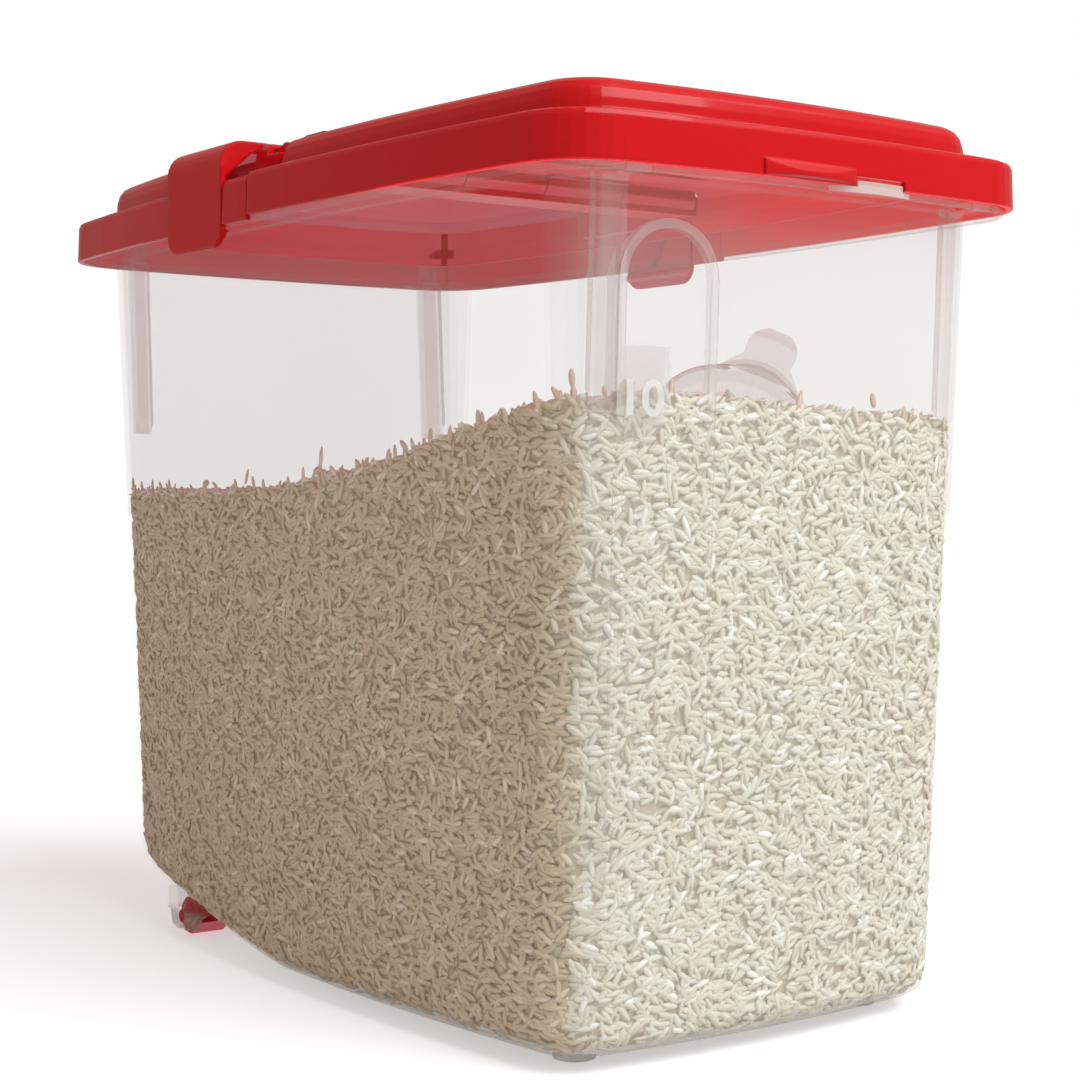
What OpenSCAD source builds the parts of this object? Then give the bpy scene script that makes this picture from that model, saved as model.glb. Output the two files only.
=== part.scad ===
// Rice bin on two rollers, with a two part lid: the front half flips up and the rear half is held by side clips.
// X is the width, -Y is the front with the gauge, and Z is up from the ground.

/* [Bin body] */
// Width between the corner curves at the rim
body_w = 185; // [170:1:200]
// Length between the front and rear corner curves at the rim
body_l = 345; // [320:1:370]
// Height of the rim flange above the ground
rim_z = 287; // [275:0.5:300]
// Outward bow of each long side
side_bow = 9; // [4:0.5:12]
// Outward bow of the front and the rear
end_bow = 4; // [2:0.5:6]
// Radius of the upright corners at the rim
corner_r = 22; // [18:1:28]
// Wall thickness
wall = 2.2; // [1.8:0.1:2.6]
// Inward draft of each long side, from rim to foot
side_draft = 5; // [3:0.5:7]
// Inward draft of the front, from rim to foot
front_draft = 10.5; // [6:0.5:13]
// Inward draft of the rear, from rim to foot
rear_draft = 17; // [12:0.5:20]

/* [Floor] */
// Height of the flat floor above the ground
floor_z = 4.5; // [4:0.5:6]
// Rise of the rear floor for each millimetre of length
floor_rise = 0.116; // [0.1:0.002:0.13]
// Distance from the front wall to the start of the rising floor
flat_len = 184; // [175:1:195]
// Radius of the floor edge at the front and sides
edge_r = 10; // [7:0.5:12]
// Radius of the floor edge at the rear
rear_edge_r = 18; // [12:0.5:20]

/* [Rim and lid] */
// Overhang of the lid skirt beyond the body
overhang = 13.4; // [12:0.2:15]
// Height of the flip lid's skirt
skirt_h = 16.2; // [14:0.2:18]
// Height of the raised panel above the skirt
panel_h = 13.3; // [11:0.1:15]
// Thickness of the lid moulding
lid_t = 2.4; // [2:0.1:2.8]
// Crown of the lid panel
crown = 1.6; // [0.5:0.1:2.4]
// Radius of the upright corners of the lid skirt
lid_corner_r = 26; // [24:1:34]
// Greatest opening of the flip lid, in degrees
lid_open = 105; // [90:1:108]

/* [Side clips] */
// Width of each side clip
clip_w = 44; // [38:1:48]
// Thickness of the clip leg
clip_t = 2.2; // [2:0.1:2.6]

/* [Rollers] */
// Radius of each roller
roller_r = 7.8; // [7:0.1:8]
// Width of each roller
roller_w = 15; // [12:0.5:17]
// Radius of the stub axles
axle_r = 2.6; // [2:0.1:3]

/* [Measuring cup] */
// Radius of the cup's mouth
cup_r = 25.5; // [24:0.5:28]
// Depth of the cup
cup_h = 38; // [34:1:42]

/* [Hidden] */
$fn = 64;
eps = 0.02;

red = [0.86, 0.06, 0.08];
milky = [0.92, 0.92, 0.90, 0.45];
grain = [0.86, 0.83, 0.74];

// Places along the length, from the front wall's corner line
front_y = -171;
rear_y = front_y + body_l;
mid_y = (front_y + rear_y) / 2;
crease_y = front_y + flat_len;
split_y = front_y + 168.5;
hinge_y = front_y + 171.5;

// Flip lid: heights of its skirt, ledge and panel
flip_skirt_z = rim_z - 0.5;
flip_ledge_z = flip_skirt_z + skirt_h;
flip_top_z = flip_ledge_z + panel_h;
// Rear lid: its skirt hangs a little lower, and its panel stands a little higher
rear_skirt_z = rim_z - 2.2;
rear_ledge_z = rear_skirt_z + skirt_h + 0.5;
rear_top_z = flip_top_z + 1.4;
lip_top_z = rim_z + 11.6;
lid_gap = 0.5;

// Knuckles of the flip lid's hinge
knuckle_r = 5;
valley_z = flip_top_z - 1;
hinge_z = valley_z - knuckle_r;
knuckle_gap = 0.5;
knuckle_n = 5;
knuckle_span = body_w + 9;
// Start of the rear plate behind the hinge, where the opened flip lid comes to rest
stop_y = (knuckle_r * (1 - cos(lid_open)) + 1.4) / sin(lid_open);
peg_r = 2.4;
peg_len = 8;
peg_play = 0.06;

// Side clips: the pivot sits in a pocket of the rear lid
clip_y0 = front_y + 188.7;
clip_y1 = clip_y0 + clip_w;
clip_mid_y = (clip_y0 + clip_y1) / 2;
pocket_gap = 1.6;
pocket_wall = 3;
pivot_r = 2.7;
clip_peg_r = 1.5;

// Rollers
roller_y = front_y + 283;
roller_z = roller_r;
ear_t = 3;
ear_x = 84.6;
roller_play = 0.4;
axle_play = 0.06;
roller_mid_x = ear_x - ear_t - roller_play - roller_w / 2;

// Measuring cup, lying tilted in the rice behind the front wall
cup_t = 1.5;
cup_lift = 60;
cup_tilt = [45, 0, -27];
cup_mouth = [12, front_y + 45, 213.6];
cup_at = cup_mouth - cup_h * [sin(cup_tilt[0]) * sin(cup_tilt[2]), -sin(cup_tilt[0]) * cos(cup_tilt[2]), cos(cup_tilt[0])];

function span(a, b, n) = [for (i = [0 : n - 1]) a + (b - a) * i / (n - 1)];

// Right half of the outline, from the front centre round to the rear centre, for half width hw,
// front and rear corner lines y0 and y1, corner radius r and a crease line inside the side
function half_outline(hw, y0, y1, r) =
  let (es = atan(2 * end_bow / (hw - r)), ss = atan(4 * side_bow / (y1 - y0 - 2 * r)),
       cx = hw - r * cos(ss), fy = y0 + r * cos(es), ry = y1 - r * cos(es),
       ex = cx + r * sin(es), sy0 = fy - r * sin(ss), sy1 = ry + r * sin(ss),
       my = (sy0 + sy1) / 2, hl = (sy1 - sy0) / 2,
       ys = concat(span(sy0, crease_y - 9, 6), [crease_y - 3, crease_y + 3], span(crease_y + 9, sy1, 6)))
  concat(
    [for (x = span(0, ex, 6)) [x, y0 - end_bow * (1 - pow(x / ex, 2))]],
    [for (a = [1 : 7]) let (t = -90 + es + (90 - es - ss) * a / 8) [cx + r * cos(t), fy + r * sin(t)]],
    [for (y = ys) [hw + side_bow * (1 - pow((y - my) / hl, 2)), y]],
    [for (a = [1 : 7]) let (t = ss + (90 - es - ss) * a / 8) [cx + r * cos(t), ry + r * sin(t)]],
    [for (x = span(ex, 0, 6)) [x, y1 + end_bow * (1 - pow(x / ex, 2))]]
  );

// The same outline at the rim and at the ground, each plain and drawn in by one step, and round the lid skirt
inset_step = 10;
rim_plain = half_outline(body_w / 2, front_y, rear_y, corner_r);
rim_inset = half_outline(body_w / 2 - inset_step, front_y + inset_step, rear_y - inset_step, corner_r - inset_step);
foot_plain = half_outline(body_w / 2 - side_draft, front_y + front_draft, rear_y - rear_draft, corner_r);
skirt_plain = half_outline(body_w / 2 + overhang, front_y - overhang, rear_y + overhang, lid_corner_r);
foot_inset = half_outline(body_w / 2 - side_draft - inset_step, front_y + front_draft + inset_step,
                          rear_y - rear_draft - inset_step, corner_r - inset_step);
half_n = len(rim_plain);

// Point i of the half outline at height z, drawn in by d, or drawn out towards the lid skirt where d is negative
function wall_xy(i, z, d) =
  d < 0 ? rim_plain[i] + (skirt_plain[i] - rim_plain[i]) * (-d / overhang) :
  let (k = d / inset_step, h = min(z, rim_z) / rim_z,
       b = foot_plain[i] + (foot_inset[i] - foot_plain[i]) * k,
       t = rim_plain[i] + (rim_inset[i] - rim_plain[i]) * k)
  b + (t - b) * h;

// Floor height at y: flat at the front, then a rise with a rounded crease
function floor_at(y) = floor_z + floor_rise * ((y - crease_y) + sqrt(pow(y - crease_y, 2) + 16)) / 2;
function edge_at(y) = edge_r + (rear_edge_r - edge_r) * pow(max(0, min(1, (y - crease_y) / (rear_y - crease_y - 20))), 2);

// Front wall surface at x and z
function front_wall_y(x, z) =
  let (h = z / rim_z, hw = body_w / 2 - side_draft * (1 - h), ex = hw - corner_r * 0.9)
  front_y + front_draft * (1 - h) - end_bow * (1 - min(1, pow(x / ex, 2)));

// A ring of points, given its right half: [x, y, z] from front centre to rear centre
function full_ring(half) = concat(half, [for (i = [half_n - 2 : -1 : 1]) [-half[i][0], half[i][1], half[i][2]]]);
function level_half(d, z) = [for (i = [0 : half_n - 1]) let (p = wall_xy(i, z, d)) [p[0], p[1], z]];
// Floor edge: a is the angle round the edge from flat to upright, t is the inward offset of the surface
function floor_half(a, t) =
  [for (i = [0 : half_n - 1])
    let (y = foot_plain[i][1], r = edge_at(y), z = floor_at(y) + r - (r - t) * cos(a),
         p = wall_xy(i, z, r - (r - t) * sin(a)))
    [p[0], p[1], z]];

// Closed solid through a list of half rings, capped at both ends by strips across the width
module ring_loft(halves) {
  n = 2 * half_n - 2;
  rows = len(halves);
  points = [for (h = halves) each full_ring(h)];
  function left(i) = (n - i) % n;
  sides = [for (k = [0 : rows - 2], i = [0 : n - 1])
    let (j = (i + 1) % n, a = k * n + i, b = (k + 1) * n + i, c = (k + 1) * n + j, d = k * n + j)
    each [[a, b, c], [a, c, d]]];
  strip = [for (i = [0 : half_n - 2]) each concat(
    left(i) == i ? [] : [[i, i + 1, left(i)]],
    left(i + 1) == i + 1 ? [] : [[i + 1, left(i + 1), left(i)]])];
  top = (rows - 1) * n;
  polyhedron(points = points, convexity = 6,
    faces = concat(sides, strip, [for (f = strip) [top + f[2], top + f[1], top + f[0]]]));
}

edge_angles = [0, 22, 45, 68, 90];

module body_shell() {
  lip_in = wall;
  flange = overhang - 2.6;
  ring_loft(concat(
    [for (a = edge_angles) floor_half(a, 0)],
    [level_half(0, rim_z - 4), level_half(-0.8, rim_z - 2.4), level_half(-flange + 1.2, rim_z - 2.2),
     level_half(-flange + 1.2, rim_z - 2.7), level_half(-flange, rim_z - 2.7), level_half(-flange, rim_z - 0.4),
     level_half(-flange + 0.4, rim_z), level_half(-0.6, rim_z), level_half(0, rim_z + 0.8),
     level_half(0.3, lip_top_z - 0.6), level_half(0.8, lip_top_z), level_half(lip_in - 0.3, lip_top_z),
     level_half(lip_in, lip_top_z - 0.5), level_half(lip_in, rim_z - 6)],
    [for (k = [len(edge_angles) - 1 : -1 : 0]) floor_half(edge_angles[k], wall)]));
}

// Raised band on the front wall along a path of [x, z, across x, across z]
module wall_band(path, w, proud, sink) {
  points = [for (p = path) each
    [for (q = [[-1, -sink], [-1, proud], [1, proud], [1, -sink]])
      let (x = p[0] + q[0] * p[2] * w / 2, z = p[1] + q[0] * p[3] * w / 2) [x, front_wall_y(x, z) - q[1], z]]];
  n = len(path);
  faces = concat(
    [for (k = [0 : n - 2], i = [0 : 3]) let (j = (i + 1) % 4)
      each [[k * 4 + i, k * 4 + 4 + i, k * 4 + 4 + j], [k * 4 + i, k * 4 + 4 + j, k * 4 + j]]],
    [[0, 1, 2], [0, 2, 3]],
    [let (e = n * 4 - 4) [e + 2, e + 1, e], let (e = n * 4 - 4) [e + 3, e + 2, e]]);
  polyhedron(points = points, faces = faces, convexity = 4);
}

gauge_x = -55;
gauge_r = 17.6;
gauge_top = 271;
gauge_foot = 60;
gauge_w = 3;
module gauge_arch() {
  cz = gauge_top - gauge_r;
  wall_band(concat(
    [[gauge_x - gauge_r, gauge_foot, -1, 0]],
    [for (a = [180 : -12 : 0]) [gauge_x + gauge_r * cos(a), cz + gauge_r * sin(a), cos(a), sin(a)]],
    [[gauge_x + gauge_r, gauge_foot, 1, 0]]), gauge_w, 0.6, 0.5);
}

// Strip on the left of the gauge for its numbers, with a rounded upper corner
strip_x0 = gauge_x - gauge_r;
strip_x1 = gauge_x + 0.7;
strip_top = 232.2;
strip_r = 6;
module gauge_strip() {
  function across(x, z) = [(strip_x0 + x) / 2, z, (strip_x0 - x) / 2, 0];
  wall_band(concat(
    [across(strip_x1, gauge_foot - 4)],
    [for (a = [0 : 18 : 90]) across(strip_x1 - strip_r * (1 - cos(a)), strip_top - strip_r * (1 - sin(a)))]), 2, 0.35, 0.9);
}

// Stiffening rib on the inside of the wall where a corner starts, with a slanted lower end
rib_x = 76;
rib_w = 8.6;
rib_z = 214.5;
rib_deep = 3.4;
module corner_rib(x, wall_line_y, inward) {
  draft = inward > 0 ? front_draft : rear_draft;
  turn = x * inward > 0 ? 1 : -1;
  translate([x, wall_line_y, rim_z - 1])
    rotate([0, 0, inward > 0 ? 0 : 180])
      rotate([atan(draft / rim_z), 0, 0])
        intersection() {
          translate([0, 0, rib_z - rim_z - 4])
            linear_extrude(height = rim_z - rib_z + 4)
              polygon([[-rib_w / 2, 3 - turn * 1.3], [0, 2.3], [rib_w / 2, 3 + turn * 1.3],
                       [rib_w / 2, 3 + rib_deep + turn * 1.5], [-rib_w / 2, 3 + rib_deep - turn * 1.5]]);
          translate([-rib_w, 0, 0])
            rotate([90, 0, 90])
              linear_extrude(height = 2 * rib_w)
                polygon([[0, 0], [0, rib_z - rim_z - 3], [rib_deep + 6, rib_z - rim_z + 6], [rib_deep + 6, 0]]);
        }
}

// Curved catch tongue on the front of the flange, with a raised middle in the notch of the flip lid's skirt
tongue_x = 18;
tongue_w = 39;
tongue_out = 3;
notch_x = 10;
notch_w = 23;
notch_h = 3.2;
module catch_tongue() {
  bulge_r = (pow(tongue_w / 2, 2) + pow(tongue_out, 2)) / (2 * tongue_out);
  edge_y = front_y - end_bow - overhang + 2.6;
  intersection() {
    translate([tongue_x, edge_y - tongue_out + bulge_r, rim_z - 2.7])
      cylinder(r = bulge_r, h = 4, $fn = 180);
    translate([0, edge_y - tongue_out - 1, 0])
      union() {
        translate([tongue_x - tongue_w / 2, 0, rim_z - 4])
          cube([tongue_w, tongue_out + 4, 3.2]);
        translate([notch_x + 0.6, 0, rim_z - 4])
          cube([notch_w - 1.2, tongue_out + 4, 5.2]);
      }
  }
}

// Pair of ears for one roller, with slots that open downward for the stub axles
module roller_ears(side) {
  top_z = floor_at(roller_y) + 2;
  ear_back = 12.5;
  ear_front = 13;
  for (x = [ear_x - ear_t, ear_x - 2 * ear_t - 2 * roller_play - roller_w])
    translate([side > 0 ? x : -x - ear_t, roller_y, 0])
      difference() {
        rotate([90, 0, 90])
          linear_extrude(height = ear_t)
            polygon([[-ear_front - 12, top_z - 4.6], [-ear_front, 8], [-ear_front + 2, 3.4], [-5, 2.2],
                     [3, 2.2], [ear_back - 4, 3.6], [ear_back - 2, 9.5], [ear_back, 9.5], [ear_back, top_z + 1]]);
        translate([-1, 0, roller_z])
          rotate([0, 90, 0])
            cylinder(r = axle_r + axle_play, h = ear_t + 2);
        translate([-1, -axle_r * 0.86, -1])
          cube([ear_t + 2, axle_r * 1.72, roller_z + 1]);
      }
}

// Web that ties the two ears together behind the roller
module ear_web(side) {
  x0 = ear_x - 2 * ear_t - 2 * roller_play - roller_w;
  w = roller_w + 2 * ear_t + 2 * roller_play;
  translate([side > 0 ? x0 : -x0 - w, roller_y + roller_r + 1.8, 9.8])
    cube([w, 2.4, floor_at(roller_y) - 7]);
}

foot_r = 8;
foot_x = 64;
foot_y = front_y + front_draft + 26;
module front_feet() {
  for (x = [-foot_x, foot_x])
    translate([x, foot_y, 0])
      cylinder(r1 = foot_r - 0.8, r2 = foot_r, h = floor_z + 0.6, $fn = 48);
}

module bin_body() {
  color(milky) {
    union() {
      body_shell();
      gauge_arch();
      gauge_strip();
      for (x = [-rib_x, rib_x]) {
        corner_rib(x, front_y, 1);
        corner_rib(x, rear_y, -1);
      }
      catch_tongue();
      front_feet();
      for (side = [-1, 1]) {
        roller_ears(side);
        ear_web(side);
      }
    }
  }
}

// Lid moulding over the whole rim, before it is split: skirt, ledge, raised panel and inner sealing rib
module lid_moulding(skirt_z, ledge_z, top_z) {
  under = ledge_z - lid_t;
  o = overhang;
  ceiling = top_z - lid_t;
  crown_in = 20;
  function crown_z(d) = crown * (1 - pow((body_w / 2 - d) / (body_w / 2), 2));
  // Ring of the crown, d in from the side: scaled, as one drawn in by more than the corner radius would fold over
  function crown_half(d, z) =
    let (s = (d - crown_in) / (body_w / 2 - crown_in))
    [for (p = level_half(crown_in, z + crown_z(d))) [p[0] * (1 - s), mid_y + (p[1] - mid_y) * (1 - s / 2), p[2]]];
  ring_loft(concat(
    [for (d = [62, 30]) crown_half(d, ceiling)],
    [level_half(9.5, ceiling - 0.1), level_half(5.3, ceiling - 1.6), level_half(3.4, ceiling - 4.6), level_half(2.6, ledge_z + 1),
     level_half(4.9, under - 1), level_half(4.9, lip_top_z - 4), level_half(3.2, lip_top_z - 4),
     level_half(3.2, under), level_half(-o + 2.2, under), level_half(-o + 2, skirt_z + 0.3),
     level_half(-o + 1.7, skirt_z), level_half(-o + 0.3, skirt_z), level_half(-o, skirt_z + 0.4),
     level_half(-o + 0.4, ledge_z - 2.2), level_half(-o + 1, ledge_z - 0.7), level_half(-o + 2.4, ledge_z),
     level_half(-1.8, ledge_z + 0.4), level_half(-0.4, ledge_z + 1.2), level_half(0.1, ledge_z + 2.8),
     level_half(0.4, top_z - 7.5), level_half(1.3, top_z - 4.4), level_half(3.1, top_z - 2), level_half(5.6, top_z - 0.6),
     level_half(8.6, top_z)],
    [for (d = [crown_in, 40, 62]) crown_half(d, top_z)]));
}

big = 300;

// Length along X of a shape drawn in Y and Z about the hinge line
module along_hinge(half_len) {
  translate([-half_len, hinge_y, 0])
    rotate([90, 0, 90])
      linear_extrude(height = 2 * half_len)
        children();
}

// Room taken out of both panels over the hinge: flat over the knuckles, with long sloped shoulders
module hinge_valley() {
  along_hinge(big / 2)
    polygon([[-8, valley_z], [8, valley_z], [28, valley_z + 4], [28, valley_z + 14],
             [-25, valley_z + 14], [-25, valley_z + 2.6]]);
}

// Thicker edge of the flip lid's panel in front of the knuckles
plate_x = body_w / 2 + 3;
module front_plate() {
  along_hinge(plate_x)
    polygon([[-26, valley_z - 1.4], [-knuckle_r - 1, valley_z - lid_t], [-knuckle_r - 1, valley_z + 0.8], [-26, valley_z + 0.8]]);
}

// Edge of the rear panel behind the knuckles, with a trough that closes the hinge from below
module rear_plate() {
  along_hinge(plate_x)
    polygon([[stop_y, valley_z - lid_t], [20, valley_z], [30, valley_z + 0.2], [30, valley_z + 2.2], [stop_y, valley_z + 2.2]]);
  trough_z = hinge_z - knuckle_r - 1 - lid_t;
  along_hinge(plate_x - 2.5)
    polygon([[-9, trough_z], [stop_y + lid_t, trough_z], [stop_y + lid_t, valley_z - 0.5], [stop_y, valley_z - 0.5],
             [stop_y, trough_z + lid_t], [-9, trough_z + lid_t]]);
}

knuckle_len = knuckle_span / knuckle_n;
function knuckle_x(k) = -knuckle_span / 2 + k * knuckle_len;

// Barrels numbered from, in steps of two, each with a web to the panel on its side
module knuckles(from, side, gap) {
  web_z = side > 0 ? 0.8 : 1.8;
  for (k = [from : 2 : knuckle_n - 1])
    translate([knuckle_x(k) + gap, hinge_y, hinge_z]) {
      rotate([0, 90, 0])
        cylinder(r = knuckle_r, h = knuckle_len - 2 * gap);
      translate([0, side > 0 ? 0 : -knuckle_r - 4, web_z])
        cube([knuckle_len - 2 * gap, side > 0 ? stop_y + 1 : knuckle_r + 4, side > 0 ? 3 : knuckle_r - web_z]);
    }
}

// Clearance round the other lid's barrels
module knuckle_room(from) {
  for (k = [from : 2 : knuckle_n - 1])
    translate([knuckle_x(k) - knuckle_gap / 2, hinge_y, hinge_z])
      rotate([0, 90, 0])
        cylinder(r = knuckle_r + 0.6, h = knuckle_len + knuckle_gap);
}

// Finger lip at the foot of the flip lid's skirt: a thin blade with a curved edge
module finger_lip() {
  lip_x = -10;
  lip_w = 40;
  lip_out = 2.9;
  face_y = front_y - end_bow - overhang;
  bend_r = (pow(lip_w / 2, 2) + pow(lip_out, 2)) / (2 * lip_out);
  intersection() {
    translate([lip_x - lip_w / 2, face_y + 0.8, flip_skirt_z])
      rotate([90, 0, 90])
        linear_extrude(height = lip_w)
          polygon([[0, 0.25], [-lip_out - 1.4, 0.9], [-lip_out - 1.4, 1.8], [-0.7, 5.4], [0.6, 5.4], [0.6, 0.25]]);
    translate([lip_x, face_y - lip_out + bend_r, flip_skirt_z - 1])
      cylinder(r = bend_r, h = 8, $fn = 180);
  }
}

module front_lid() {
  color(red) {
    difference() {
      union() {
        difference() {
          union() {
            difference() {
              lid_moulding(flip_skirt_z, flip_ledge_z, flip_top_z);
              translate([-big / 2, split_y, 0])
                cube([big, big, big * 2]);
            }
            front_plate();
          }
          hinge_valley();
          translate([-big / 2, hinge_y - knuckle_r - 1.05, hinge_z + 2.4])
            cube([big, big, big]);
          translate([notch_x, front_y - 30, flip_skirt_z - 1])
            cube([notch_w, 22, notch_h + 1]);
        }
        knuckles(1, -1, knuckle_gap / 2);
        finger_lip();
      }
      knuckle_room(0);
      for (x = [-plate_x - 9, plate_x - 1])
        translate([x, hinge_y, hinge_z])
          rotate([0, 90, 0])
            cylinder(r = knuckle_r + 0.6, h = 10);
    }
    for (k = [1, 3], end = [0, 1])
      translate([knuckle_x(k + end) + (end == 0 ? knuckle_gap / 2 - peg_len : -knuckle_gap / 2 - 1), hinge_y, hinge_z])
        rotate([0, 90, 0])
          cylinder(r = peg_r, h = peg_len + 1);
  }
}

pivot_x = 95;
pivot_z = rear_top_z - pivot_r - 0.6;

// Clip pocket in the side of the rear lid: block added inside, then hollow and peg bores taken out
module pocket_block(side) {
  x0 = pivot_x - pivot_r - 1 - pocket_wall;
  x1 = body_w / 2 + 6;
  top = rear_top_z - 0.7;
  mirror([side > 0 ? 0 : 1, 0, 0])
    translate([0, clip_y1 + pocket_gap + pocket_wall, 0])
      rotate([90, 0, 0])
        linear_extrude(height = clip_w + 2 * pocket_gap + 2 * pocket_wall)
          polygon([[x0, rear_ledge_z - lid_t], [x1, rear_ledge_z - lid_t], [x1, top - 4.6], [x1 - 1.8, top - 1.8], [x1 - 4.8, top], [x0, top]]);
}

leg_in_x = body_w / 2 + side_bow + overhang - 2.3;
module pocket_hollow(side) {
  x0 = pivot_x - pivot_r - 1;
  x1 = leg_in_x - 0.3;
  w = 40;
  translate([side > 0 ? x0 : -x0 - w, clip_y0 - pocket_gap, rear_ledge_z + 0.4])
    cube([w, clip_w + 2 * pocket_gap, 30]);
  translate([side > 0 ? x1 : -x1 - w, clip_y0 - 1, rear_skirt_z - 5])
    cube([w, clip_w + 2, 40]);
  translate([side * pivot_x, clip_y0 - pocket_gap - pocket_wall - 1, pivot_z])
    rotate([-90, 0, 0])
      cylinder(r = clip_peg_r + peg_play, h = clip_w + 2 * pocket_gap + 2 * pocket_wall + 2);
}

module rear_lid() {
  color(red) {
    difference() {
      union() {
        difference() {
          union() {
            difference() {
              union() {
                lid_moulding(rear_skirt_z, rear_ledge_z, rear_top_z);
                for (side = [-1, 1])
                  pocket_block(side);
              }
              translate([-big / 2, split_y + lid_gap - big, 0])
                cube([big, big, big * 2]);
              translate([-big / 2, hinge_y - big, hinge_z + 0.8])
                cube([big, big + stop_y - 0.05, big]);
            }
            rear_plate();
          }
          hinge_valley();
          for (side = [-1, 1])
            pocket_hollow(side);
        }
        knuckles(0, 1, knuckle_gap / 2);
      }
      knuckle_room(1);
      for (k = [1, 3], end = [0, 1])
        translate([knuckle_x(k + end) + (end == 0 ? -peg_len - 1 : -1), hinge_y, hinge_z])
          rotate([0, 90, 0])
            cylinder(r = peg_r + peg_play, h = peg_len + 2);
    }
  }
}

// One side clip on the +X side: shoulder over the ledge, leg down the skirt and a hook under the flange
module clip_shape() {
  out_x = leg_in_x;
  leg_x = out_x + clip_t;
  foot_z = rim_z - 10;
  shoulder_z = rear_top_z - 0.5;
  under_z = rear_ledge_z + 1.6;
  shoulder_r = 9;
  profile = concat(
    [[out_x, foot_z + 1], [out_x + 0.4, foot_z], [leg_x - 0.4, foot_z]],
    [[leg_x, foot_z + 1]],
    [for (a = [0 : 15 : 90]) [leg_x - shoulder_r * (1 - cos(a)), shoulder_z - shoulder_r * (1 - sin(a))]],
    [[pivot_x, shoulder_z], [pivot_x, pivot_z - 1.6], [pivot_x + 6.8, pivot_z - 1.6],
     [out_x, under_z], [out_x, rim_z - 3.4], [out_x - 1.4, rim_z - 4.1], [out_x - 2.2, rim_z - 4.8],
     [out_x - 2.2, rim_z - 5.6], [out_x, rim_z - 7]]);
  corner = 8;
  intersection() {
    translate([0, clip_y1, 0])
      rotate([90, 0, 0])
        linear_extrude(height = clip_w)
          polygon(profile);
    translate([80, clip_mid_y, 0])
      rotate([90, 0, 90])
        linear_extrude(height = 60)
          union() {
            translate([-clip_w / 2, foot_z + corner])
              square([clip_w, 60]);
            translate([-clip_w / 2 + corner, foot_z])
              square([clip_w - 2 * corner, 60]);
            for (s = [-1, 1])
              translate([s * (clip_w / 2 - corner), foot_z + corner])
                circle(r = corner);
          }
  }
  translate([pivot_x, clip_y0, pivot_z])
    rotate([-90, 0, 0])
      cylinder(r = pivot_r, h = clip_w);
  translate([pivot_x, clip_y0 - pocket_gap - pocket_wall, pivot_z])
    rotate([-90, 0, 0])
      cylinder(r = clip_peg_r, h = clip_w + 2 * pocket_gap + 2 * pocket_wall);
}

module side_clip_left() {
  color(red)
    mirror([1, 0, 0])
      clip_shape();
}

module side_clip_right() {
  color(red)
    clip_shape();
}

// Roller with its stub axles in one moulding, with a shallow hollow at each end
module roller(side) {
  inner = ear_x - 2 * ear_t - 2 * roller_play - roller_w;
  reach = roller_w + 2 * ear_t + 2 * roller_play;
  translate([side > 0 ? inner : -ear_x, roller_y, roller_z])
    rotate([0, 90, 0]) {
      cylinder(r = axle_r, h = reach);
      translate([0, 0, ear_t + roller_play])
        rotate_extrude()
          polygon([[0, 0], [4.6, 0], [4.6, 0.8], [6, 0.8], [6, 0], [roller_r - 0.7, 0], [roller_r, 0.7],
                   [roller_r, roller_w - 0.7], [roller_r - 0.7, roller_w], [6, roller_w],
                   [6, roller_w - 0.8], [4.6, roller_w - 0.8], [4.6, roller_w], [0, roller_w]]);
    }
}

module roller_left() {
  color(red)
    roller(-1);
}

module roller_right() {
  color(red)
    roller(1);
}

// Cup with a rim flange and a short paddle handle that rises from the rim and folds near its end
module cup_shape() {
  base_r = cup_r - 4.5;
  neck_w = 18;
  root_w = 34;
  fold_l = 10;
  rise = 48;
  rotate_extrude()
    polygon([[0, 0], [base_r - 1.5, 0], [base_r, 1.5], [cup_r - 0.6, cup_h - 6], [cup_r + 0.7, cup_h - 6],
             [cup_r + 0.7, cup_h - 1.6], [cup_r + 1.6, cup_h - 1.6], [cup_r + 1.6, cup_h - 0.4], [cup_r + 1.2, cup_h],
             [cup_r - cup_t + 0.7, cup_h], [cup_r - cup_t + 0.7, cup_h - 5.4], [cup_r - cup_t - 0.4, cup_h - 6.4],
             [base_r - cup_t + 0.3, cup_t + 1], [base_r - cup_t - 0.8, cup_t], [0, cup_t]]);
  difference() {
    translate([cup_r + 0.6, 0, cup_h - 1.6])
      rotate([0, -rise, 0]) {
        linear_extrude(height = 1.6)
          polygon(concat(
            [for (a = [0 : 15 : 90]) [-3 + 9 * sin(a), -neck_w / 2 - (root_w - neck_w) / 2 * (1 - sin(a))]],
            [[fold_l, -neck_w / 2 - 0.4], [fold_l, neck_w / 2 + 0.4]],
            [for (a = [90 : -15 : 0]) [-3 + 9 * sin(a), neck_w / 2 + (root_w - neck_w) / 2 * (1 - sin(a))]]));
        translate([fold_l - 0.4, 0, 0])
          rotate([0, 14, 0])
            linear_extrude(height = 1.6)
              intersection() {
                translate([0, -neck_w / 2 - 0.4])
                  square([7.5, neck_w + 0.8]);
                scale([1, 1.15])
                  circle(r = 8.2);
              }
      }
    translate([0, 0, cup_h - 12])
      cylinder(r = cup_r - cup_t + 0.9, h = 30);
  }
}

cup_turn = 57;
module cup_placed() {
  translate(cup_at)
    rotate(cup_tilt)
      rotate([0, 0, cup_turn])
        cup_shape();
}

module measuring_cup() {
  color([0.93, 0.93, 0.92, 0.6])
    cup_placed();
}

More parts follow.
